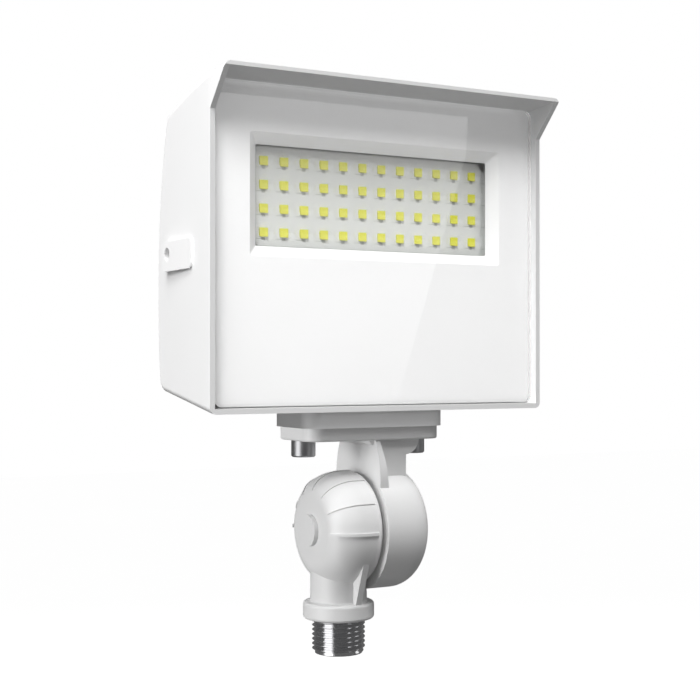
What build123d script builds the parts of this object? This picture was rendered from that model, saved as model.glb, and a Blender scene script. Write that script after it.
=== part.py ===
from build123d import *
import os
from math import cos, radians, sin

# LED flood light on a tilting knuckle with a threaded nipple.
# +Z is up, the lamp shines towards -Y, +X is to the right of somebody facing it.
# The origin is on the nipple's axis, at the underside of the knuckle's collar.

# Head casting
head_x = 9.4
head_width = 147.0
front_y = -21.0
rim_bottom_z = 81.7
wing_kink_z = 192.1
lip_z = 206.9
lip_reach = 13.0
lip_thickness = 1.4
wall = 2.0
back_bottom = (57.0, 89.4)
back_middle = (60.5, 128.0)
back_top = (49.0, 197.2)
top_middle = (18.0, 203.3)
side_inset = 3.2
back_corner = 5.0
edge_round = 2.4

# Heat sink fins behind the light engine
fin_count = 18
fin_gap = 4.6
fin_pitch = 6.9
fin_root_depth = 17.6
fin_foot_z = 142.0

# Glass, bezel and gasket, in that order back from the front rim
glass_front = 2.0
glass_thickness = 3.0
gasket_thickness = 1.0
gasket_width = 3.4
glass_clearance = 0.6
glass_top_z = 203.8
visor_underside_z = 204.4
glass_corner = 3.0
bezel_thickness = 1.2
bezel_depth = glass_front + glass_thickness + 0.1
seat_depth = bezel_depth + bezel_thickness + gasket_thickness

# Window in the bezel, and the light engine behind it
window_width = 111.8
window_bottom_z = 139.75
window_top_z = 185.9
window_depth = 4.0
window_inset = 4.1
led_columns = 12
led_rows = 4
led_pitch_x = 8.54
led_pitch_z = 8.96
led_centre_z = 162.9
chip_size = 3.2
chip_thickness = 0.8
dome_radius = 3.5
dome_height = 2.4
lens_thickness = 1.2
board_thickness = 1.6
board_size = (118.0, 52.0)
platform_depth = 14.4
pad_thickness = 0.4
engine_bottom_z = 137.0
engine_top_z = 200.2

# Driver
driver_size = (112.0, 24.0, 36.0)
driver_foot = 8.0
driver_z = 113.0
driver_back = 46.0
driver_screw_radius = 1.75
chamber_depth = 54.5

# Seat of the arm under the head
pad_size = (62.7, 32.8)
plate_size = (59.6, 29.8)
plate_corner = 6.0
plate_bottom_z = 70.1
plate_top_z = 75.3
arm_bolt_spacing = 50.0
arm_bolt_head = (4.75, 6.35)
arm_bolt_shank_radius = 3.0
arm_bolt_length = 14.0

# Knuckle, which turns about an axis along X
axis_z = 34.9
joint_x = 8.8
drum_radius = 24.4
drum_end_x = 31.0
drum_round = 10.5
drum_clearance = 0.8
drum_hollow_radius = 15.0
drum_hollow_depth = 13.0
dome_shell_radius = 22.6
dome_end_x = -12.2
dome_round = (12.8, 9.8)
dome_hollow_radius = 12.8
dome_edge = 4.5
boss_radius = 6.1
boss_end_x = -14.0
spigot_depth = 2.5
spigot_clearance = 0.05
neck_front = 12.5
neck_right_x = 23.6
neck_flare = (2.0, 6.0)
neck_web_width = (1.7, 3.9)
neck_web_top_y = 13.7
neck_web_y = 17.6
wire_x = 16.0
wire_radius = 5.2
seal_groove = (15.8, 17.4, 1.4)

# Lower neck, collar and nipple
column_radius = 11.2
web_x = (0.4, 3.0)
web_foot_y = 12.8
web_top = (20.7, 27.0)
collar_radius = 14.05
collar_height = 6.55
nipple_radius = 10.475
nipple_root_radius = 10.0
nipple_bore_radius = 7.9
nipple_length = 13.7
nipple_seat = 5.5
nipple_chamfer = 1.0

# Pivot fasteners
pivot_shank_radius = 3.0
pivot_head = (5.0, 5.6)
pivot_washer_size = (6.5, 1.2)

# Aiming scale on the dome: raised lines at even angles, and a stout one at the front and back
scale_step = 30
scale_line = (0.5, 0.35)
scale_stout_line = (1.1, 0.7)
scale_reach = 7.0

# Accessory holes in the sides of the head
side_hole_radius = 2.6
side_hole_depth = 9.0
side_hole_back = 41.9
side_hole_z = 142.1
side_pad_z = (135.6, 147.0)
side_pad_front = 18.0
side_pad_back = 47.0

half_width = head_width / 2
chamber_width = head_width - 2 * (wall + gasket_width)
left_x = head_x - half_width

standing = (Align.CENTER, Align.CENTER, Align.MIN)
hanging = (Align.CENTER, Align.CENTER, Align.MAX)

os.makedirs("parts", exist_ok=True)


def back(depth):
    """The Y of a depth measured back from the front rim."""
    return front_y + depth


def facing_front(depth):
    """A plane that looks at the viewer, at a depth behind the front rim."""
    return Plane.XZ.offset(-back(depth))


def keep(context, name):
    """Labels a finished piece and writes it."""
    context.part.label = name
    export_step(context.part, f"parts/{name}.step")


def underside(depth):
    """Height of the visor's underside at a depth behind the front rim."""
    drop = (lip_z - lip_thickness - visor_underside_z) / (lip_reach + glass_front)
    return visor_underside_z - drop * (depth - glass_front)


def scale_plane(angle):
    """A plane through the pivot's axis, at an angle above the front."""
    upward = (0, -sin(radians(angle)), -cos(radians(angle)))
    return Plane(origin=(0, 0, axis_z), x_dir=(1, 0, 0), z_dir=upward)


def led_grid():
    """The places of the light chips, about the window's centre."""
    return GridLocations(led_pitch_x, led_pitch_z, led_columns, led_rows)


def board_screw_grid():
    """The places of the board's screws, about its centre."""
    return GridLocations(board_size[0] / 2 - 4, board_size[1] - 6, 3, 2)


def foot_grid():
    """The places of the driver's two screws, about its centre."""
    return GridLocations(driver_size[0] + driver_foot, 1, 2, 1)


def arm_bolt_grid():
    """The places of the two bolts that hold the arm's plate to the head."""
    return GridLocations(arm_bolt_spacing, 1, 2, 1)


# Head casting: the side profile, run across the width and drafted towards the back
with BuildPart() as housing:
    with BuildSketch(Plane.YZ.offset(left_x)):
        with BuildLine():
            Line((front_y, rim_bottom_z), (back(back_bottom[0]), back_bottom[1]))
            ThreePointArc(
                (back(back_bottom[0]), back_bottom[1]),
                (back(back_middle[0]), back_middle[1]),
                (back(back_top[0]), back_top[1]),
            )
            ThreePointArc(
                (back(back_top[0]), back_top[1]),
                (back(top_middle[0]), top_middle[1]),
                (back(-lip_reach), lip_z),
            )
            Line((back(-lip_reach), lip_z), (back(-lip_reach), lip_z - lip_thickness))
            Line((back(-lip_reach), lip_z - lip_thickness), (front_y, wing_kink_z))
            Line((front_y, wing_kink_z), (front_y, rim_bottom_z))
        rim_profile = make_face()
        fillet(rim_profile.vertices().sort_by(Axis.X)[-2:], 6.0)
    extrude(amount=head_width)
    # Plan outline: straight at the rim, then drafted in towards the back
    with BuildSketch(Plane.XY.offset(rim_bottom_z - 5)):
        with BuildLine():
            Polyline(
                (left_x, back(-lip_reach) - 1),
                (left_x, back(glass_front)),
                (left_x + side_inset, back(62)),
                (left_x + head_width - side_inset, back(62)),
                (left_x + head_width, back(glass_front)),
                (left_x + head_width, back(-lip_reach) - 1),
                close=True,
            )
        plan = make_face()
        fillet(plan.vertices().sort_by(Axis.Y)[-2:], back_corner)
    extrude(amount=lip_z - rim_bottom_z + 10, mode=Mode.INTERSECT)
    long_edges = housing.edges().filter_by(
        lambda e: e.length > 40
        and abs(abs(e.center().X - head_x) - half_width) < side_inset
        and (e.center().Z < rim_bottom_z + 10 or e.center().Z > back_top[1])
    )
    fillet(long_edges, edge_round)
    # Seat for the knuckle's plate
    with BuildSketch(Plane.XY.offset(plate_top_z)):
        with Locations((head_x, 0)):
            RectangleRounded(*pad_size, plate_corner + 1.5)
    extrude(amount=13.5)
    # Side pads that stay upright where the sides draft away
    for side in (-1, 1):
        with BuildSketch(Plane.YZ.offset(head_x + side * half_width)):
            with Locations((back((side_pad_front + side_pad_back) / 2), sum(side_pad_z) / 2)):
                RectangleRounded(side_pad_back - side_pad_front, side_pad_z[1] - side_pad_z[0], 2.0)
        extrude(amount=-side * 6.0)
    # Pocket of the glass, open at the front
    with BuildSketch(Plane.YZ.offset(left_x + wall)):
        with BuildLine():
            Polyline(
                (back(-20), rim_bottom_z + wall),
                (back(seat_depth), rim_bottom_z + wall),
                (back(seat_depth), underside(seat_depth)),
                (back(-20), underside(-20)),
                close=True,
            )
        make_face()
    extrude(amount=head_width - 2 * wall, mode=Mode.SUBTRACT)
    # Chamber of the light engine
    with BuildSketch(facing_front(seat_depth)):
        with Locations((head_x, (engine_bottom_z + engine_top_z) / 2)):
            RectangleRounded(chamber_width, engine_top_z - engine_bottom_z, 4.0)
    extrude(amount=-(platform_depth - seat_depth), mode=Mode.SUBTRACT)
    # Chamber of the driver, under the light engine
    with BuildSketch(Plane.YZ.offset(left_x + wall + gasket_width)):
        with BuildLine():
            Polyline(
                (back(seat_depth - 1), rim_bottom_z + wall + gasket_width),
                (back(30), rim_bottom_z + wall + gasket_width),
                (back(chamber_depth), back_bottom[1] + wall + 1.5),
                (back(chamber_depth), fin_foot_z - 4),
                (back(platform_depth), fin_foot_z - 4),
                (back(seat_depth - 1), fin_foot_z - 4),
                close=True,
            )
        chamber = make_face()
        fillet(chamber.vertices().sort_by(Axis.X)[-2:], 3.0)
    extrude(amount=chamber_width, mode=Mode.SUBTRACT)
    # Fins: slots from the back, open at the top
    with BuildSketch(facing_front(fin_root_depth)):
        with Locations((head_x, fin_foot_z + 40)):
            with GridLocations(fin_pitch, 1, fin_count, 1):
                Rectangle(fin_gap, 80)
    extrude(amount=-60, mode=Mode.SUBTRACT)
    # Bosses inside the driver chamber for the arm bolts and the driver's screws
    with Locations((head_x, 0, plate_top_z + 11)):
        with arm_bolt_grid():
            Cylinder(5.6, 6.5, align=standing)
    with BuildSketch(facing_front(chamber_depth + 1)):
        with Locations((head_x, driver_z)):
            with foot_grid():
                Circle(4.0)
    extrude(amount=chamber_depth + 1 - driver_back)
    # Drilled and tapped holes
    with Locations((head_x, 0, plate_top_z)):
        with arm_bolt_grid():
            Cylinder(arm_bolt_shank_radius, 2 * arm_bolt_length, mode=Mode.SUBTRACT)
    with Locations((wire_x, 0, plate_top_z)):
        Cylinder(wire_radius, 40, mode=Mode.SUBTRACT)
    for side in (-1, 1):
        with BuildSketch(Plane.YZ.offset(head_x + side * half_width)):
            with Locations((back(side_hole_back), side_hole_z)):
                Circle(side_hole_radius)
        extrude(amount=-side * side_hole_depth, mode=Mode.SUBTRACT)
    with BuildSketch(facing_front(platform_depth)):
        with Locations((head_x, led_centre_z)):
            with board_screw_grid():
                Circle(1.5)
    extrude(amount=-2.6, mode=Mode.SUBTRACT)
    with BuildSketch(facing_front(driver_back)):
        with Locations((head_x, driver_z)):
            with foot_grid():
                Circle(driver_screw_radius)
    extrude(amount=-7.0, mode=Mode.SUBTRACT)
keep(housing, "housing")

# Glass, with its gasket behind the bezel
glass_width = head_width - 2 * wall - 2 * glass_clearance
glass_bottom_z = rim_bottom_z + wall + glass_clearance
glass_height = glass_top_z - glass_bottom_z
glass_centre = (head_x, (glass_top_z + glass_bottom_z) / 2)

with BuildPart() as glass_gasket:
    with BuildSketch(facing_front(seat_depth)):
        with Locations(glass_centre):
            RectangleRounded(glass_width, glass_height, glass_corner)
            offset(amount=-gasket_width + 0.6, kind=Kind.INTERSECTION, mode=Mode.SUBTRACT)
    extrude(amount=gasket_thickness)
keep(glass_gasket, "glass_gasket")

with BuildPart() as front_glass:
    with BuildSketch(facing_front(glass_front + glass_thickness)):
        with Locations(glass_centre):
            RectangleRounded(glass_width, glass_height, glass_corner)
    extrude(amount=glass_thickness)
    front_edges = front_glass.edges().group_by(Axis.Y)[0]
    chamfer(front_edges, 0.4)
keep(front_glass, "front_glass")

# White bezel: a flat face with a funnel that leads back to the lenses
window_centre = (head_x, (window_bottom_z + window_top_z) / 2)
window_height = window_top_z - window_bottom_z
floor_width = window_width - 2 * window_inset
floor_height = window_height - 2 * window_inset

with BuildPart() as bezel:
    with BuildSketch(facing_front(bezel_depth + bezel_thickness)):
        with Locations(glass_centre):
            RectangleRounded(glass_width, glass_height, glass_corner)
    extrude(amount=bezel_thickness)
    # Outside of the funnel
    with BuildSketch(facing_front(bezel_depth + bezel_thickness)):
        with Locations(window_centre):
            RectangleRounded(window_width + 2, window_height + 2, 2.0)
    with BuildSketch(facing_front(bezel_depth + window_depth)):
        with Locations(window_centre):
            RectangleRounded(floor_width + 4, floor_height + 4, 1.5)
    loft()
    # Inside of the funnel
    with BuildSketch(facing_front(bezel_depth)):
        with Locations(window_centre):
            RectangleRounded(window_width, window_height, 1.2)
    with BuildSketch(facing_front(bezel_depth + window_depth)):
        with Locations(window_centre):
            RectangleRounded(floor_width, floor_height, 0.6)
    loft(mode=Mode.SUBTRACT)
keep(bezel, "bezel")

# Lens array: a clear tray with one dome over every chip
lens_depth = bezel_depth + window_depth + 0.1
lens_size = (floor_width + 2.4, floor_height + 2.4)
board_depth = platform_depth - pad_thickness - board_thickness
cap_radius = (dome_radius**2 + dome_height**2) / (2 * dome_height)

with BuildPart() as lens_dome:
    with BuildSketch(Plane.XZ):
        with BuildLine():
            Line((0, dome_height), (0, -0.4))
            Line((0, -0.4), (dome_radius, -0.4))
            Line((dome_radius, -0.4), (dome_radius, 0))
            RadiusArc((dome_radius, 0), (0, dome_height), -cap_radius)
        make_face()
    revolve(axis=Axis.Z)

with BuildPart() as lens_array:
    with BuildSketch(facing_front(board_depth)):
        with Locations((head_x, led_centre_z)):
            RectangleRounded(*lens_size, 3.0)
    extrude(amount=board_depth - lens_depth)
    with BuildSketch(facing_front(board_depth)):
        with Locations((head_x, led_centre_z)):
            RectangleRounded(lens_size[0] - 3, lens_size[1] - 3, 2.0)
    extrude(amount=board_depth - lens_depth - lens_thickness, mode=Mode.SUBTRACT)
    with Locations(facing_front(lens_depth)):
        with Locations((head_x, led_centre_z)):
            with led_grid():
                add(lens_dome.part)
keep(lens_array, "lens_array")

# Light engine: chips on a board, over a thermal pad
with BuildPart() as led_board:
    with BuildSketch(facing_front(board_depth + board_thickness)):
        with Locations((head_x, led_centre_z)):
            RectangleRounded(*board_size, 2.0)
            with board_screw_grid():
                Circle(1.6, mode=Mode.SUBTRACT)
    extrude(amount=board_thickness)
keep(led_board, "led_board")

with BuildPart() as led_chips:
    with BuildSketch(facing_front(board_depth)):
        with Locations((head_x, led_centre_z)):
            with led_grid():
                Rectangle(chip_size, chip_size)
    extrude(amount=chip_thickness)
keep(led_chips, "led_chips")

with BuildPart() as thermal_pad:
    with BuildSketch(facing_front(platform_depth)):
        with Locations((head_x, led_centre_z)):
            Rectangle(board_size[0] - 2, board_size[1] - 2)
            with board_screw_grid():
                Circle(2.4, mode=Mode.SUBTRACT)
    extrude(amount=pad_thickness)
keep(thermal_pad, "thermal_pad")

with BuildPart() as board_screws:
    with BuildSketch(facing_front(board_depth)):
        with Locations((head_x, led_centre_z)):
            with board_screw_grid():
                Circle(2.4)
    extrude(amount=1.4)
    with BuildSketch(facing_front(board_depth)):
        with Locations((head_x, led_centre_z)):
            with board_screw_grid():
                Circle(1.5)
    extrude(amount=-4.4)
keep(board_screws, "board_screws")

# Driver: a potted case on two feet
with BuildPart() as driver_case:
    with BuildSketch(facing_front(driver_back)):
        with Locations((head_x, driver_z)):
            RectangleRounded(driver_size[0], driver_size[2], 2.0)
    extrude(amount=driver_size[1])
    with BuildSketch(facing_front(driver_back)):
        with Locations((head_x, driver_z)):
            RectangleRounded(driver_size[0] + 2 * driver_foot, 10.0, 2.0)
            with foot_grid():
                Circle(1.9, mode=Mode.SUBTRACT)
    extrude(amount=2.0)
    with BuildSketch(facing_front(driver_back - driver_size[1])):
        with Locations((head_x, driver_z)):
            RectangleRounded(driver_size[0] - 3, driver_size[2] - 3, 1.2)
    extrude(amount=-1.6, mode=Mode.SUBTRACT)
keep(driver_case, "driver_case")

with BuildPart() as driver_cover:
    with BuildSketch(facing_front(driver_back - driver_size[1] + 1.6)):
        with Locations((head_x, driver_z)):
            RectangleRounded(driver_size[0] - 3.2, driver_size[2] - 3.2, 1.1)
    extrude(amount=1.6)
keep(driver_cover, "driver_cover")

with BuildPart() as driver_screws:
    with BuildSketch(facing_front(driver_back - 2.0)):
        with Locations((head_x, driver_z)):
            with foot_grid():
                Circle(3.2)
    extrude(amount=2.2)
    with BuildSketch(facing_front(driver_back - 2.0)):
        with Locations((head_x, driver_z)):
            with foot_grid():
                Circle(driver_screw_radius)
    extrude(amount=-8.0)
keep(driver_screws, "driver_screws")

pivot = Plane(origin=(0, 0, axis_z), x_dir=(1, 0, 0), z_dir=(0, -1, 0))
pivot_axis = Axis((0, 0, axis_z), (1, 0, 0))
drum_wall_x = joint_x + drum_hollow_depth
seat_x = drum_end_x - pivot_head[1] - pivot_washer_size[1] - 0.6
neck_top_z = plate_bottom_z + 0.5
dome_shoulder_x = dome_end_x + dome_round[0]

# Webs beside the joint, which grow wider and thicker from the plate down to the drum
with BuildPart() as neck_webs:
    with BuildSketch(Plane.YZ.offset(joint_x)):
        with BuildLine():
            Line((-neck_web_top_y, neck_top_z), (neck_web_top_y, neck_top_z))
            for side in (-1, 1):
                ThreePointArc(
                    (side * neck_web_top_y, neck_top_z),
                    (side * (neck_web_y - 0.5), axis_z + 27),
                    (side * neck_web_y, axis_z + 16.5),
                )
            Line((-neck_web_y, axis_z + 16.5), (neck_web_y, axis_z + 16.5))
        make_face()
    extrude(amount=neck_web_width[1])
    with BuildSketch(Plane.XZ.offset(neck_web_y + 1)):
        with BuildLine():
            Polyline(
                (joint_x, axis_z + 16.5),
                (joint_x + neck_web_width[1], axis_z + 16.5),
                (joint_x + neck_web_width[0], neck_top_z),
                (joint_x, neck_top_z),
                close=True,
            )
        make_face()
    extrude(amount=-2 * (neck_web_y + 1), mode=Mode.INTERSECT)

# Upper arm: plate, neck and drum of the knuckle
with BuildPart() as upper_arm:
    with BuildSketch(Plane.XY.offset(plate_bottom_z)):
        with Locations((head_x, 0)):
            RectangleRounded(*plate_size, plate_corner)
    extrude(amount=plate_top_z - plate_bottom_z)
    rim_edges = upper_arm.edges().group_by(Axis.Z)[0]
    fillet(rim_edges, 0.8)
    # Drum
    with BuildSketch(pivot):
        with BuildLine():
            Line((joint_x, 0), (joint_x, drum_radius))
            Line((joint_x, drum_radius), (drum_end_x - drum_round, drum_radius))
            RadiusArc(
                (drum_end_x - drum_round, drum_radius),
                (drum_end_x, drum_radius - drum_round),
                drum_round,
            )
            Line((drum_end_x, drum_radius - drum_round), (drum_end_x, 0))
            Line((drum_end_x, 0), (joint_x, 0))
        make_face()
    revolve(axis=pivot_axis)
    # Neck, which flares where it meets the plate
    with BuildSketch(Plane.XZ.offset(neck_front)):
        with BuildLine():
            Line((joint_x, axis_z + 12), (joint_x, plate_bottom_z - neck_flare[0]))
            RadiusArc(
                (joint_x, plate_bottom_z - neck_flare[0]),
                (joint_x - neck_flare[0], neck_top_z),
                neck_flare[0] + 0.6,
            )
            Line(
                (joint_x - neck_flare[0], neck_top_z),
                (neck_right_x + neck_flare[1], neck_top_z),
            )
            RadiusArc(
                (neck_right_x + neck_flare[1], neck_top_z),
                (neck_right_x, plate_bottom_z - neck_flare[1]),
                neck_flare[1] + 0.6,
            )
            Line((neck_right_x, plate_bottom_z - neck_flare[1]), (neck_right_x, axis_z + 12))
            Line((neck_right_x, axis_z + 12), (joint_x, axis_z + 12))
        make_face()
    extrude(amount=-2 * neck_front)
    add(neck_webs.part)
    # Hollow of the drum, wireway through the neck and pivot hole
    with BuildSketch(Plane.YZ.offset(joint_x)):
        with Locations((0, axis_z)):
            Circle(drum_hollow_radius)
    extrude(amount=drum_hollow_depth, mode=Mode.SUBTRACT)
    with BuildSketch(Plane.XY.offset(axis_z + 10)):
        with Locations((wire_x, 0)):
            Circle(wire_radius)
    extrude(amount=60, mode=Mode.SUBTRACT)
    with BuildSketch(Plane.YZ.offset(joint_x)):
        with Locations((0, axis_z)):
            Circle(7.5)
            Circle(pivot_shank_radius + 0.3, mode=Mode.SUBTRACT)
    extrude(amount=drum_hollow_depth + 0.5)
    with BuildSketch(Plane.YZ.offset(joint_x)):
        with Locations((0, axis_z)):
            Circle(pivot_shank_radius + 0.3)
    extrude(amount=40, mode=Mode.SUBTRACT)
    with BuildSketch(Plane.YZ.offset(seat_x)):
        with Locations((0, axis_z)):
            Circle(pivot_washer_size[0] + 0.5)
    extrude(amount=20, mode=Mode.SUBTRACT)
    with BuildSketch(Plane.XY.offset(plate_bottom_z - 1)):
        with Locations((head_x, 0)):
            with arm_bolt_grid():
                Circle(arm_bolt_shank_radius + 0.3)
    extrude(amount=10, mode=Mode.SUBTRACT)
    # Groove of the plate's seal
    with BuildSketch(Plane.XY.offset(plate_top_z)):
        with Locations((wire_x, 0)):
            Circle(10.0)
            Circle(7.6, mode=Mode.SUBTRACT)
    extrude(amount=-1.6, mode=Mode.SUBTRACT)
keep(upper_arm, "upper_arm")

with BuildPart() as plate_seal:
    with BuildSketch(Plane.XY.offset(plate_top_z)):
        with Locations((wire_x, 0)):
            Circle(9.9)
            Circle(7.7, mode=Mode.SUBTRACT)
    extrude(amount=-1.6)
keep(plate_seal, "plate_seal")

with BuildPart() as arm_bolts:
    with Locations((head_x, 0, plate_bottom_z)):
        with arm_bolt_grid():
            Cylinder(*arm_bolt_head, align=hanging)
            Cylinder(arm_bolt_shank_radius, arm_bolt_length, align=standing)
    head_edges = arm_bolts.edges().filter_by(GeomType.CIRCLE).group_by(Axis.Z)[0]
    chamfer(head_edges, 0.5)
    with BuildSketch(Plane.XY.offset(plate_bottom_z - arm_bolt_head[1])):
        with Locations((head_x, 0)):
            with arm_bolt_grid():
                RegularPolygon(2.75, 6)
    extrude(amount=3.0, mode=Mode.SUBTRACT)
keep(arm_bolts, "arm_bolts")

# Lower arm: dome of the knuckle, column and collar
with BuildPart() as lower_arm:
    with BuildSketch(pivot):
        with BuildLine():
            Line((joint_x, 0), (joint_x, dome_shell_radius - dome_edge))
            RadiusArc(
                (joint_x, dome_shell_radius - dome_edge),
                (joint_x - dome_edge, dome_shell_radius),
                -dome_edge,
            )
            Line((joint_x - dome_edge, dome_shell_radius), (dome_shoulder_x, dome_shell_radius))
            EllipticalCenterArc(
                (dome_shoulder_x, dome_shell_radius - dome_round[1]),
                dome_round[0],
                dome_round[1],
                start_angle=90,
                arc_size=90,
            )
            Line((dome_end_x, dome_shell_radius - dome_round[1]), (dome_end_x, 0))
            Line((dome_end_x, 0), (joint_x, 0))
        make_face()
    revolve(axis=pivot_axis)
    with BuildSketch(Plane.YZ.offset(dome_end_x + 1)):
        with Locations((0, axis_z)):
            Circle(boss_radius)
    extrude(amount=-(dome_end_x + 1 - boss_end_x))
    # Raised lines of the aiming scale, over the rounding of the dome
    for angle in range(0, 181, scale_step):
        width, height = scale_stout_line if angle in (0, 180) else scale_line
        with BuildSketch(scale_plane(angle)):
            with BuildLine():
                rounding = EllipticalCenterArc(
                    (dome_shoulder_x, dome_shell_radius - dome_round[1]),
                    dome_round[0] + height,
                    dome_round[1] + height,
                    start_angle=90,
                    arc_size=75,
                )
                Polyline(
                    rounding @ 1,
                    (scale_reach - 2, (rounding @ 1).Y),
                    (scale_reach, dome_shell_radius - 2),
                    (scale_reach - 2, dome_shell_radius + height),
                    rounding @ 0,
                )
            make_face()
        extrude(amount=width / 2, both=True)
    # Column, collar and the soft corner between them
    with BuildSketch(Plane.XY):
        Circle(column_radius)
    extrude(amount=axis_z - 8)
    with BuildSketch(Plane.XY):
        Circle(collar_radius)
    extrude(amount=collar_height)
    corner_edges = lower_arm.edges().filter_by(GeomType.CIRCLE).filter_by(
        lambda e: abs(e.radius - column_radius) < 0.01 and abs(e.center().Z - collar_height) < 0.01
    )
    fillet(corner_edges, 1.0)
    collar_edges = lower_arm.edges().filter_by(GeomType.CIRCLE).filter_by(
        lambda e: abs(e.radius - collar_radius) < 0.01
    )
    fillet(collar_edges, 1.2)
    # Webs that carry the dome, in front and behind
    for side in (-1, 1):
        with BuildSketch(Plane.YZ.offset(web_x[0])):
            with BuildLine():
                Polyline(
                    (side * 5, collar_height - 1),
                    (side * web_foot_y, collar_height - 1),
                    (side * web_top[0], web_top[1]),
                    (side * 5, web_top[1]),
                    close=True,
                )
            make_face()
        extrude(amount=web_x[1] - web_x[0])
    # Room for the drum beside the column
    with BuildSketch(Plane.YZ.offset(joint_x)):
        with Locations((0, axis_z)):
            Circle(drum_radius + drum_clearance)
    extrude(amount=20, mode=Mode.SUBTRACT)
    # Hollow of the dome, with the boss of the pivot bolt left standing
    with BuildSketch(pivot):
        with BuildLine():
            Polyline(
                (joint_x, pivot_head[0] + 2.5),
                (joint_x, dome_hollow_radius),
                (dome_shoulder_x - 1, dome_hollow_radius),
                (dome_end_x + 5, dome_hollow_radius - 5),
                (dome_end_x + 4, pivot_head[0] + 2.5),
                close=True,
            )
        make_face()
    revolve(axis=pivot_axis, mode=Mode.SUBTRACT)
    with BuildSketch(Plane.XY):
        Circle(nipple_root_radius)
    extrude(amount=nipple_seat, mode=Mode.SUBTRACT)
    with BuildSketch(Plane.XY):
        Circle(nipple_bore_radius - 0.6)
    extrude(amount=22, mode=Mode.SUBTRACT)
    # Spigot that centres the drum, groove of the seal and thread of the pivot bolt
    with BuildSketch(Plane.YZ.offset(joint_x)):
        with Locations((0, axis_z)):
            Circle(drum_hollow_radius - spigot_clearance)
            Circle(dome_hollow_radius, mode=Mode.SUBTRACT)
    extrude(amount=spigot_depth)
    with BuildSketch(Plane.YZ.offset(joint_x)):
        with Locations((0, axis_z)):
            Circle(seal_groove[1])
            Circle(seal_groove[0], mode=Mode.SUBTRACT)
    extrude(amount=-seal_groove[2], mode=Mode.SUBTRACT)
    with BuildSketch(Plane.YZ.offset(joint_x)):
        with Locations((0, axis_z)):
            Circle(pivot_shank_radius)
    extrude(amount=-19.0, mode=Mode.SUBTRACT)
keep(lower_arm, "lower_arm")

with BuildPart() as knuckle_seal:
    with BuildSketch(Plane.YZ.offset(joint_x)):
        with Locations((0, axis_z)):
            Circle(seal_groove[1] - 0.05)
            Circle(seal_groove[0] + 0.05, mode=Mode.SUBTRACT)
    extrude(amount=-seal_groove[2])
keep(knuckle_seal, "knuckle_seal")

# Pivot bolt with its washer
with BuildPart() as pivot_bolt:
    with BuildSketch(Plane.YZ.offset(seat_x + pivot_washer_size[1])):
        with Locations((0, axis_z)):
            Circle(pivot_head[0])
    extrude(amount=pivot_head[1])
    outer_edges = pivot_bolt.edges().filter_by(GeomType.CIRCLE).group_by(Axis.X)[-1]
    chamfer(outer_edges, 0.6)
    with BuildSketch(Plane.YZ.offset(seat_x + pivot_washer_size[1] + pivot_head[1])):
        with Locations((0, axis_z)):
            RegularPolygon(2.9, 6)
    extrude(amount=-3.0, mode=Mode.SUBTRACT)
    with BuildSketch(Plane.YZ.offset(seat_x + pivot_washer_size[1])):
        with Locations((0, axis_z)):
            Circle(pivot_shank_radius)
    extrude(amount=-(seat_x + pivot_washer_size[1] - joint_x + 18.0))
keep(pivot_bolt, "pivot_bolt")

with BuildPart() as pivot_washer:
    with BuildSketch(Plane.YZ.offset(seat_x)):
        with Locations((0, axis_z)):
            Circle(pivot_washer_size[0])
            Circle(pivot_shank_radius + 0.2, mode=Mode.SUBTRACT)
    extrude(amount=pivot_washer_size[1])
keep(pivot_washer, "pivot_washer")

# Nipple: the thread's outer diameter below the collar, its root inside it
with BuildPart() as nipple:
    with BuildSketch(Plane.XY):
        Circle(nipple_radius)
    extrude(amount=-nipple_length)
    end_edge = nipple.edges().filter_by(GeomType.CIRCLE).group_by(Axis.Z)[0]
    chamfer(end_edge, nipple_chamfer)
    with BuildSketch(Plane.XY):
        Circle(nipple_root_radius)
    extrude(amount=nipple_seat)
    with BuildSketch(Plane.XY.offset(-nipple_length)):
        Circle(nipple_bore_radius)
    extrude(amount=nipple_length + nipple_seat, mode=Mode.SUBTRACT)
keep(nipple, "nipple")
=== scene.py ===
import math

import bmesh
import bpy
from mathutils import Euler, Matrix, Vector


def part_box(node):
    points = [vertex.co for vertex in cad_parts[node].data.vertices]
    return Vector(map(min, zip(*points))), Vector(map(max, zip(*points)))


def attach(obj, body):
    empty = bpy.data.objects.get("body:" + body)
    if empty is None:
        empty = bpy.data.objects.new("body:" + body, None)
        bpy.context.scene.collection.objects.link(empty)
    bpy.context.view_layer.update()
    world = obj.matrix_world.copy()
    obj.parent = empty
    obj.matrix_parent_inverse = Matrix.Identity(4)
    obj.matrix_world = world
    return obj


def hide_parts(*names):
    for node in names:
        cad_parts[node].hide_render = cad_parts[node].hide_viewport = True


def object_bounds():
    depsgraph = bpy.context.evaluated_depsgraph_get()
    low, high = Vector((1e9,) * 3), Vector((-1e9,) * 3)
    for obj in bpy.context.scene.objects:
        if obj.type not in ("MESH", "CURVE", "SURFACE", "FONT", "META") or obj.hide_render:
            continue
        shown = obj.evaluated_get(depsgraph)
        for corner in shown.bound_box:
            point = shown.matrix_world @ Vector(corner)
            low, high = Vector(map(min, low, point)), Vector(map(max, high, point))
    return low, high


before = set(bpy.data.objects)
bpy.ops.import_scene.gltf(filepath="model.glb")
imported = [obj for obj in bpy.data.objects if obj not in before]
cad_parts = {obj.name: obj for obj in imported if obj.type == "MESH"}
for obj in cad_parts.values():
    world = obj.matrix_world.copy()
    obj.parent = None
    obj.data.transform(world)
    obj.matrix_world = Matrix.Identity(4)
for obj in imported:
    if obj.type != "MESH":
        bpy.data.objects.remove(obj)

CAD_BOX = [list(corner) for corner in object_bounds()]
MM = 0.001

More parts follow.
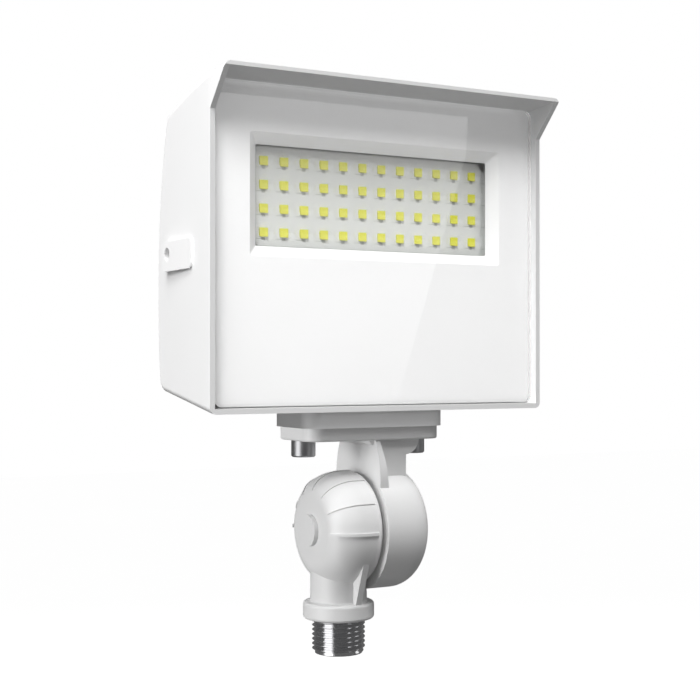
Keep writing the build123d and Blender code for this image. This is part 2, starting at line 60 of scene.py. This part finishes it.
# Nipple and its thread, in metres. The collar's underside is the origin's height.
NIPPLE_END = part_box("nipple")[0].z
COLLAR_UNDERSIDE = 0.0
THREAD_RADIUS = 10.45 * MM
THREAD_DEPTH = 1.15 * MM
THREAD_PITCH = 1.814 * MM
THREAD_CHAMFER = 1.6 * MM
NIPPLE_BORE = 7.9 * MM
# Shares of a pitch at which the root's flat ends and the crest's flat starts and ends
ROOT_FLAT_END, CREST_FLAT_START, CREST_FLAT_END = 0.06, 0.5, 0.56
THREAD_STEPS = 96
SPARE_TURNS = 2
SEAM_GAP = 0.002 * MM
RIM_GAP = 0.001 * MM
CUT_GAP = 0.0001 * MM

# Light chips: their pitch across and up, and the middle of their grid
CHIPS_LOW, CHIPS_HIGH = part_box("led_chips")
CHIP_ROWS = 4
CHIP_PITCH = (8.54 * MM, 8.96 * MM)
CHIP_GRID_MIDDLE = ((CHIPS_LOW.x + CHIPS_HIGH.x) / 2, (CHIPS_LOW.z + CHIPS_HIGH.z) / 2)
CHIP_TALL = CHIPS_HIGH.z - CHIPS_LOW.z - (CHIP_ROWS - 1) * CHIP_PITCH[1]

# Painted grey shadow under each chip, and a printed grey trace beside it, measured from the chip's
# lower edge and its middle
SHADOW_PATCH_TALL = 1.4 * MM
SHADOW_PATCH_HALF_WIDE = 0.8 * MM
SHADOW_PATCH_SHIFT = 0.1 * MM
TRACE_TOP, TRACE_FOOT = 0.75 * MM, 0.95 * MM
TRACE_REACH = 3.3 * MM

# Camera: sensor and lens in millimetres, place in metres, angles in degrees
SENSOR_WIDTH = 36.0
CAMERA_LENS = 69.79
CAMERA_PLACE = Vector((-0.2577, -0.4704, 0.1016))
CAMERA_TURN = 29.2
CAMERA_RISE = 0.4
CAMERA_ANGLES = Euler((math.radians(90 + CAMERA_RISE), 0, math.radians(-CAMERA_TURN)))

# Floor and surroundings
FLOOR_DROP = 0.45
FLOOR_HALF_SIZE = 6.0
FLOOR_GLOW = 0.8
AMBIENT = 0.214
MIRRORED_AMBIENT = 0.15

# Softboxes: name, turn from the front towards the left and rise in degrees, power in watts, and
# the nodes that it lights. With no nodes it lights everything.
LAMP_MIDDLE = Vector((0, 0, 0.12))
SOFTBOX_SIZE = 0.8
SOFTBOX_DISTANCE = 1.7
HEAD = ("housing",)
ARM = ("upper_arm", "lower_arm")
WINDOW = ("bezel", "lens_array", "led_board", "led_chips", "glass_gasket")
SOFTBOXES = [
    ("window_front", 35, 50, 36.5, WINDOW),
    ("head_front", 35, 50, 7.0, HEAD),
    ("head_low", 20, 15, 3.0, HEAD),
    ("head_left", 75, 30, 20.0, HEAD),
    ("head_high", 60, 62, 20.0, HEAD),
    ("arm_left", 90, 0, 20.8, ARM),
    ("arm_front", 35, 50, 3.5, ARM),
    ("arm_top", -20, 65, 32.0, ARM),
    ("back", 205, 40, 8.0, ()),
]

# Outline of the pale reflection in the glass, in pixels across and down the photograph.
# On the left and below it runs on past the glass, where it has no edge to show.
PHOTOGRAPH_SIDE = 700
PALE_TOP_LEFT = (180, 87.5)
PALE_TOP_RIGHT = (468, 117)
SLANT_TOP = (466, 155)
SLANT_LOW = (397, 404)
SLANT_FOOT = (390, 430)
PALE_BOTTOM_LEFT = (180, 430)
# Planes of the glass and of the card that it mirrors, in metres, and the card's glow: at height 0,
# what it gains to the metre, and its limit
GLASS_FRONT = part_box("front_glass")[0].y
CARD_PLANE = -1.2
GLASS_CARD_GLOW = 0.65
GLASS_CARD_FADE = 4.4
GLOW_LIMIT = 4.0
# Cards beside the lamp: name, turn from the front towards the right and spread in degrees, low
# and high edge in metres, and glow
SIDE_CARD_DISTANCE = 1.0
SIDE_CARDS = [
    ("left_card", -80, 43, -2.0, 2.0, 2.3),
    ("right_card", 75, 14, 0.1, 2.0, 1.6),
]


def feed(tree, socket, value):
    """Links a socket to a wire, or gives it a value."""
    if isinstance(value, Wire):
        tree.links.new(value.socket, socket)
    else:
        socket.default_value = value


class Wire:
    """One output of a shader node, with arithmetic that adds Math nodes."""

    def __init__(self, tree, socket):
        self.tree = tree
        self.socket = socket

    def _math(self, operation, *values):
        node = self.tree.nodes.new("ShaderNodeMath")
        node.operation = operation
        for place, value in enumerate(values):
            feed(self.tree, node.inputs[place], value)
        return Wire(self.tree, node.outputs[0])

    def __add__(self, other):
        return self._math("ADD", self, other)

    def __radd__(self, other):
        return self._math("ADD", other, self)

    def __sub__(self, other):
        return self._math("SUBTRACT", self, other)

    def __rsub__(self, other):
        return self._math("SUBTRACT", other, self)

    def __mul__(self, other):
        return self._math("MULTIPLY", self, other)

    def __rmul__(self, other):
        return self._math("MULTIPLY", other, self)

    def __gt__(self, other):
        return self._math("GREATER_THAN", self, other)

    def __lt__(self, other):
        return self._math("LESS_THAN", self, other)

    def absolute(self):
        return self._math("ABSOLUTE", self)

    def limited(self, low=0.0, high=1.0):
        raised = self._math("MAXIMUM", self, low)
        return raised._math("MINIMUM", raised, high)

    def wrapped(self, length):
        return self._math("FLOORED_MODULO", self, length)


class Nodes:
    """A node tree, with one method that adds any node."""

    def __init__(self, tree):
        self.tree = tree
        self.tree.nodes.clear()

    def node(self, kind, settings=None, sockets=None, out=0):
        """Adds a node of a kind: its settings first, then the values or links of its sockets.

        Stops are the two ends of a colour ramp.
        """
        node = self.tree.nodes.new(kind)
        for name, value in (settings or {}).items():
            if name == "stops":
                for element, (place, colour) in zip(node.color_ramp.elements, value):
                    element.position = place
                    element.color = (*colour, 1.0)
            else:
                setattr(node, name, value)
        for name, value in (sockets or {}).items():
            feed(self.tree, node.inputs[name], value)
        return Wire(self.tree, node.outputs[out]) if node.outputs else None


class Finish(Nodes):
    """A material and the nodes that materials share."""

    def __init__(self, name):
        self.material = bpy.data.materials.new(name)
        self.material.use_nodes = True
        super().__init__(self.material.node_tree)

    def place(self):
        """Object coordinates, in metres."""
        return self.node("ShaderNodeTexCoord", out="Object")

    def axis(self, name):
        """One of the three Object coordinates."""
        return self.node("ShaderNodeSeparateXYZ", sockets={"Vector": self.place()}, out=name)

    def noise(self, scale, detail, roughness):
        """Noise with a number of cells to the metre."""
        return self.node(
            "ShaderNodeTexNoise",
            sockets={"Vector": self.place(), "Scale": scale, "Detail": detail, "Roughness": roughness},
        )

    def chip_cell(self):
        """Places in the cell of the nearest light chip: across and up from the chip's middle.

        Columns and rows are even in number, so a cell's edge is at the grid's middle.
        """
        places = []
        for axis, middle, pitch in zip("XZ", CHIP_GRID_MIDDLE, CHIP_PITCH):
            places.append((self.axis(axis) - middle).wrapped(pitch) - pitch / 2)
        return places

    def bump(self, height, distance, strength):
        return self.node(
            "ShaderNodeBump",
            sockets={"Height": height, "Distance": distance, "Strength": strength},
        )

    def shade(self, amount, dark, light):
        """A colour between two, by an amount from 0 to 1."""
        return self.node(
            "ShaderNodeValToRGB",
            settings={"stops": [(0.0, dark), (1.0, light)]},
            sockets={"Fac": amount},
        )

    def principled(self, **sockets):
        """A Principled BSDF. Its sockets are named in lower case, with underscores."""
        titled = {}
        for name, value in sockets.items():
            titled[name.replace("_", " ").title().replace("Ior", "IOR")] = value
        return self.node("ShaderNodeBsdfPrincipled", sockets=titled)

    def surface(self, shader):
        """Ends the material with its surface shader."""
        self.node("ShaderNodeOutputMaterial", sockets={"Surface": shader})
        return self.material

    def see_through(self, body, tint):
        """Ends a clear material, which lets the lamps through, tinted, to what is behind it."""
        clear = self.node("ShaderNodeBsdfTransparent", sockets={"Color": (*tint, 1.0)})
        shadow = self.node("ShaderNodeLightPath", out="Is Shadow Ray")
        return self.surface(self.node("ShaderNodeMixShader", sockets={0: shadow, 1: body, 2: clear}))


def grey(tone):
    return (tone, tone, tone)


def powder_coat(name, dark, light):
    """White powder coat: a fine orange peel and a faint unevenness of tone."""
    coat = Finish(name)
    peel = coat.noise(scale=1400.0, detail=2.0, roughness=0.5)
    cloud = coat.noise(scale=28.0, detail=3.0, roughness=0.6)
    speck = coat.noise(scale=5200.0, detail=1.0, roughness=0.5)
    shader = coat.principled(
        base_color=coat.shade((cloud * 0.6 + speck * 0.4).limited(), dark, light),
        roughness=(0.36 + 0.10 * cloud).limited(),
        normal=coat.bump(peel * 0.8 + speck * 0.2, distance=0.05 * MM, strength=0.35),
    )
    return coat.surface(shader)


def clear_glass():
    """Tempered glass of the front, faintly smeared."""
    glass = Finish("tempered_glass")
    smear = glass.noise(scale=60.0, detail=2.0, roughness=0.5)
    pane = glass.principled(
        base_color=(*grey(0.985), 1.0),
        roughness=(0.004 + 0.012 * smear).limited(),
        transmission_weight=1.0,
        ior=1.45,
    )
    return glass.see_through(pane, tint=grey(0.985))


def clear_lens():
    """Clear moulded plastic of the lens tray. Its low IOR lets the chips show whole."""
    lens = Finish("clear_acrylic")
    ripple = lens.noise(scale=240.0, detail=2.0, roughness=0.5)
    body = lens.principled(
        base_color=(0.985, 0.99, 0.99, 1.0),
        roughness=(0.01 + 0.03 * ripple).limited(),
        transmission_weight=1.0,
        ior=1.04,
        coat_weight=1.0,
        coat_roughness=0.05,
        normal=lens.bump(ripple, distance=0.02 * MM, strength=0.2),
    )
    return lens.see_through(body, tint=(0.96, 0.97, 0.97))


def satin_plastic():
    """White moulded plastic of the bezel."""
    plastic = Finish("white_bezel_plastic")
    grain = plastic.noise(scale=2600.0, detail=2.0, roughness=0.5)
    cloud = plastic.noise(scale=20.0, detail=2.0, roughness=0.5)
    shader = plastic.principled(
        base_color=plastic.shade(cloud, grey(0.90), grey(0.93)),
        roughness=(0.42 + 0.08 * grain).limited(),
        normal=plastic.bump(grain, distance=0.02 * MM, strength=0.25),
    )
    return plastic.surface(shader)


def solder_mask():
    """White solder mask of the board, with a painted grey shadow under each chip and a short printed
    trace beside it.
    """
    mask = Finish("white_solder_mask")
    grain = mask.noise(scale=1800.0, detail=2.0, roughness=0.5)
    sideways, upward = mask.chip_cell()
    foot = -CHIP_TALL / 2
    # Painted shadow: a grey patch just below each chip's lower edge, where the chip's shade falls
    painted_shadow = (upward > foot - SHADOW_PATCH_TALL) * (upward < foot)
    painted_shadow = painted_shadow * ((sideways - SHADOW_PATCH_SHIFT).absolute() < SHADOW_PATCH_HALF_WIDE)
    trace = (upward > foot - TRACE_FOOT) * (upward < foot - TRACE_TOP)
    trace = trace * (sideways < 0) * (sideways > -TRACE_REACH)
    # The painted shadow and the printed trace darken the mask together
    shadow_and_trace = (painted_shadow + trace).limited() * 0.55 + grain * 0.12
    shader = mask.principled(
        base_color=mask.shade(shadow_and_trace.limited(), (0.72, 0.72, 0.70), (0.16, 0.17, 0.15)),
        roughness=0.4,
        normal=mask.bump(grain, distance=0.02 * MM, strength=0.2),
    )
    return mask.surface(shader)


def phosphor():
    """Yellow phosphor that fills a chip's cup."""
    fill = Finish("chip_phosphor")
    grain = fill.noise(scale=6000.0, detail=3.0, roughness=0.7)
    shader = fill.principled(
        base_color=fill.shade(grain, (0.62, 0.60, 0.02), (0.80, 0.78, 0.06)),
        roughness=(0.35 + 0.25 * grain).limited(),
        normal=fill.bump(grain, distance=0.04 * MM, strength=0.4),
    )
    return fill.surface(shader)


def rubber(name, dark, light):
    """Silicone or rubber with a dull, slightly mottled face."""
    gum = Finish(name)
    mottle = gum.noise(scale=900.0, detail=3.0, roughness=0.6)
    shader = gum.principled(
        base_color=gum.shade(mottle, dark, light),
        roughness=(0.62 + 0.2 * mottle).limited(),
        normal=gum.bump(mottle, distance=0.04 * MM, strength=0.4),
    )
    return gum.surface(shader)


def dark_plastic():
    """Black moulded plastic of the driver."""
    plastic = Finish("black_driver_plastic")
    grain = plastic.noise(scale=2200.0, detail=3.0, roughness=0.6)
    shader = plastic.principled(
        base_color=plastic.shade(grain, grey(0.02), (0.045, 0.045, 0.047)),
        roughness=(0.5 + 0.2 * grain).limited(),
        normal=plastic.bump(grain, distance=0.05 * MM, strength=0.4),
    )
    return plastic.surface(shader)


def turned_steel(name, dark, light, roughness):
    """Steel with faint turning marks along its height and a patchy plate."""
    steel = Finish(name)
    squeezed = steel.node(
        "ShaderNodeMapping",
        sockets={"Vector": steel.place(), "Scale": (60.0, 60.0, 6000.0)},
    )
    rings = steel.node(
        "ShaderNodeTexNoise",
        sockets={"Vector": squeezed, "Scale": 1.0, "Detail": 2.0},
    )
    patch = steel.noise(scale=220.0, detail=3.0, roughness=0.6)
    shader = steel.principled(
        base_color=steel.shade((rings * 0.5 + patch * 0.5).limited(), dark, light),
        metallic=1.0,
        roughness=(roughness + 0.12 * patch).limited(),
        normal=steel.bump(rings, distance=0.02 * MM, strength=0.25),
    )
    return steel.surface(shader)


def pale_floor():
    """Pale, matt and slightly clouded."""
    pale = Finish("pale_floor")
    cloud = pale.noise(scale=3.0, detail=2.0, roughness=0.5)
    shader = pale.principled(
        base_color=pale.shade(cloud, grey(0.90), grey(0.93)),
        roughness=0.9,
        emission_color=(1, 1, 1, 1),
        emission_strength=FLOOR_GLOW,
    )
    return pale.surface(shader)


def card_paper(name, glow, fade):
    """White paper that glows, and more so with height by its fade."""
    paper = Finish(name)
    strength = (paper.axis("Z") * fade + glow).limited(0.0, GLOW_LIMIT)
    return paper.surface(paper.node("ShaderNodeEmission", sockets={"Strength": strength}))


def mesh_of(shape, name, material):
    """Ends a bmesh as a mesh with its material."""
    mesh = bpy.data.meshes.new(name)
    shape.to_mesh(mesh)
    shape.free()
    mesh.materials.append(material)
    return mesh


def placed(name, data):
    """A new object of the scene, for a mesh, a light or a camera."""
    thing = bpy.data.objects.new(name, data)
    bpy.context.collection.objects.link(thing)
    return thing


def dress(node, material):
    """Gives a CAD node a material in all its slots."""
    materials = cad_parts[node].data.materials
    if not materials:
        materials.append(material)
    for place in range(len(materials)):
        materials[place] = material


def drawn_to(vert, radius):
    """Moves a vertex straight towards the nipple's axis, to a radius."""
    share = radius / math.hypot(vert.co.x, vert.co.y)
    vert.co.x *= share
    vert.co.y *= share


def thread_ridge(shape):
    """The outline of all turns on one side of the nipple, spun once round along the helix."""
    root = THREAD_RADIUS - THREAD_DEPTH
    outline = [
        (0.0, root),
        (ROOT_FLAT_END, root),
        (CREST_FLAT_START, THREAD_RADIUS),
        (CREST_FLAT_END, THREAD_RADIUS),
    ]
    turns = int((COLLAR_UNDERSIDE - NIPPLE_END) / THREAD_PITCH) + 2 * SPARE_TURNS
    points = [(turn + share, radius) for turn in range(turns) for share, radius in outline]
    points.append((turns, root))
    start = NIPPLE_END - SPARE_TURNS * THREAD_PITCH
    verts = [shape.verts.new((radius, 0.0, start + place * THREAD_PITCH)) for place, radius in points]
    for pair in zip(verts, verts[1:]):
        shape.edges.new(pair)
    bmesh.ops.spin(
        shape,
        geom=shape.verts[:] + shape.edges[:],
        cent=(0, 0, 0),
        axis=(0, 0, 1),
        dvec=(0, 0, THREAD_PITCH / THREAD_STEPS),
        angle=math.tau,
        steps=THREAD_STEPS,
        use_merge=False,
        use_duplicate=False,
    )
    bmesh.ops.remove_doubles(shape, verts=shape.verts[:], dist=SEAM_GAP)


def cut_thread_ends(shape):
    """Cuts the thread square at the nipple's end and at the collar."""
    for height, outward in ((NIPPLE_END, (0, 0, -1)), (COLLAR_UNDERSIDE, (0, 0, 1))):
        bmesh.ops.bisect_plane(
            shape,
            geom=shape.verts[:] + shape.edges[:] + shape.faces[:],
            dist=CUT_GAP,
            plane_co=(0, 0, height),
            plane_no=outward,
            clear_outer=True,
        )


def lead_in(shape):
    """Draws the crests near the nipple's end down to a cone."""
    for vert in shape.verts:
        rise = (vert.co.z - NIPPLE_END) / THREAD_CHAMFER
        allowed = THREAD_RADIUS - THREAD_DEPTH + rise * THREAD_DEPTH
        if math.hypot(vert.co.x, vert.co.y) > allowed:
            drawn_to(vert, allowed)


def wire_bore(shape):
    """Closes both ends with flat rings, and joins the rings by the bore for the wires."""
    for height in (NIPPLE_END, COLLAR_UNDERSIDE):
        rim = []
        for edge in shape.edges:
            if edge.is_boundary and all(abs(vert.co.z - height) < RIM_GAP for vert in edge.verts):
                rim.append(edge)
        made = bmesh.ops.extrude_edge_only(shape, edges=rim)
        for part in made["geom"]:
            if isinstance(part, bmesh.types.BMVert):
                drawn_to(part, NIPPLE_BORE)
    bmesh.ops.remove_doubles(shape, verts=shape.verts[:], dist=RIM_GAP)
    bmesh.ops.bridge_loops(shape, edges=[edge for edge in shape.edges if edge.is_boundary])


def threaded_nipple(material):
    """The nipple below the collar: a helical thread outside and a smooth bore inside."""
    shape = bmesh.new()
    thread_ridge(shape)
    cut_thread_ends(shape)
    lead_in(shape)
    wire_bore(shape)
    bmesh.ops.recalc_face_normals(shape, faces=shape.faces[:])
    piece = placed("nipple_thread", mesh_of(shape, "nipple_thread", material))
    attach(piece, "base")
    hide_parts("nipple")


def camera():
    """The camera at the photograph's viewing angle."""
    data = bpy.data.cameras.new("camera")
    data.sensor_width = SENSOR_WIDTH
    data.lens = CAMERA_LENS
    eye = placed("camera", data)
    eye.location = CAMERA_PLACE
    eye.rotation_euler = CAMERA_ANGLES
    bpy.context.scene.camera = eye


def floor():
    """A wide pale floor, well below the lamp."""
    shape = bmesh.new()
    bmesh.ops.create_grid(shape, x_segments=8, y_segments=8, size=FLOOR_HALF_SIZE)
    bmesh.ops.translate(shape, verts=shape.verts[:], vec=(0, 0, CAD_BOX[0][2] - FLOOR_DROP))
    plane = placed("floor", mesh_of(shape, "floor", pale_floor()))
    plane.visible_diffuse = False
    plane.visible_glossy = False


def surroundings():
    """Surroundings that the camera sees white, that light the lamp gently and mirror dark."""
    world = bpy.data.worlds.new("studio")
    bpy.context.scene.world = world
    world.use_nodes = True
    nodes = Nodes(world.node_tree)
    camera_ray = nodes.node("ShaderNodeLightPath", out="Is Camera Ray")
    glossy_ray = nodes.node("ShaderNodeLightPath", out="Is Glossy Ray")
    strength = AMBIENT + camera_ray * (1.0 - AMBIENT) - glossy_ray * (AMBIENT - MIRRORED_AMBIENT)
    sky = nodes.node("ShaderNodeBackground", sockets={"Color": (1, 1, 1, 1), "Strength": strength})
    nodes.node("ShaderNodeOutputWorld", sockets={"Surface": sky})


def softbox(name, turn, rise, power, lit):
    """A soft square light that no surface mirrors, for the nodes that it lights."""
    data = bpy.data.lights.new(name, "AREA")
    data.shape = "SQUARE"
    data.size = SOFTBOX_SIZE
    data.energy = power
    lamp = placed(name, data)
    around, up = math.radians(turn), math.radians(rise)
    way = Vector((-math.sin(around) * math.cos(up), -math.cos(around) * math.cos(up), math.sin(up)))
    lamp.location = LAMP_MIDDLE + way * SOFTBOX_DISTANCE
    lamp.rotation_euler = (-way).to_track_quat("-Z", "Y").to_euler()
    lamp.visible_glossy = False
    if lit:
        group = bpy.data.collections.new(name)
        for node in lit:
            group.objects.link(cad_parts[node])
        lamp.light_linking.receiver_collection = group


def mirrored_card(name, corners, glow, fade=0.0):
    """A white card that shows only where a glossy surface mirrors it."""
    shape = bmesh.new()
    bmesh.ops.contextual_create(shape, geom=[shape.verts.new(corner) for corner in corners])
    card = placed(name, mesh_of(shape, name, card_paper(name, glow, fade)))
    card.visible_camera = False
    card.visible_diffuse = False
    card.visible_transmission = False
    card.visible_shadow = False


def card_corner(pixel):
    """The place on the card's plane that the glass mirrors into a pixel, to the millimetre."""
    across, down = pixel
    middle = PHOTOGRAPH_SIDE / 2
    reach = PHOTOGRAPH_SIDE * CAMERA_LENS / SENSOR_WIDTH
    ray = Vector((across - middle, middle - down, -reach))
    ray.rotate(CAMERA_ANGLES)
    on_glass = CAMERA_PLACE + ray * (GLASS_FRONT - CAMERA_PLACE.y) / ray.y
    ray.y = -ray.y
    on_card = on_glass + ray * (CARD_PLANE - on_glass.y) / ray.y
    return [round(value, 3) for value in on_card]


def glass_card():
    """The card that lightens the left of the glass, up to a slanting edge."""
    outline = (
        PALE_TOP_LEFT,
        PALE_TOP_RIGHT,
        SLANT_TOP,
        SLANT_LOW,
        SLANT_FOOT,
        PALE_BOTTOM_LEFT,
    )
    corners = [card_corner(pixel) for pixel in outline]
    mirrored_card("glass_card", corners, GLASS_CARD_GLOW, GLASS_CARD_FADE)


def side_card(name, turn, spread, low, high, glow):
    """A card that stands upright beside the lamp, and spans its spread."""
    first, last = math.radians(turn - spread / 2), math.radians(turn + spread / 2)
    corners = []
    for angle, height in ((first, low), (last, low), (last, high), (first, high)):
        across, back = math.sin(angle), -math.cos(angle)
        corners.append((SIDE_CARD_DISTANCE * across, SIDE_CARD_DISTANCE * back, height))
    mirrored_card(name, corners, glow)


# Finishes of the CAD nodes
HEAD_WHITE = powder_coat("white_powder_coat", grey(0.84), grey(0.89))
# The arms' copy of the white powder coat is darker than the head's: painted shade for the light that
# the head keeps from the arms
ARM_SHADED_WHITE = powder_coat("shaded_white_arm_powder_coat", grey(0.70), grey(0.75))
STEEL = turned_steel("plain_steel", (0.36, 0.36, 0.37), (0.50, 0.50, 0.51), roughness=0.30)
PLATED = turned_steel("bright_plated_steel", (0.60, 0.60, 0.61), (0.74, 0.74, 0.75), roughness=0.10)
SILICONE = rubber("white_silicone", grey(0.70), grey(0.80))
BLACK_RUBBER = rubber("black_rubber", grey(0.02), grey(0.05))
GREY_PAD = rubber("grey_thermal_pad", (0.30, 0.32, 0.34), (0.42, 0.44, 0.47))
DRIVER = dark_plastic()

FINISHES = {
    "housing": HEAD_WHITE,
    "upper_arm": ARM_SHADED_WHITE,
    "lower_arm": ARM_SHADED_WHITE,
    "front_glass": clear_glass(),
    "glass_gasket": SILICONE,
    "bezel": satin_plastic(),
    "lens_array": clear_lens(),
    "led_board": solder_mask(),
    "led_chips": phosphor(),
    "thermal_pad": GREY_PAD,
    "board_screws": STEEL,
    "driver_case": DRIVER,
    "driver_cover": DRIVER,
    "driver_screws": STEEL,
    "plate_seal": SILICONE,
    "arm_bolts": STEEL,
    "knuckle_seal": BLACK_RUBBER,
    "pivot_bolt": STEEL,
    "pivot_washer": STEEL,
    "nipple": PLATED,
}
for node_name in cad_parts:
    dress(node_name, FINISHES[node_name])

threaded_nipple(PLATED)

bpy.context.scene.view_settings.view_transform = "Standard"
camera()
floor()
surroundings()
for softbox_values in SOFTBOXES:
    softbox(*softbox_values)
glass_card()
for card_values in SIDE_CARDS:
    side_card(*card_values)
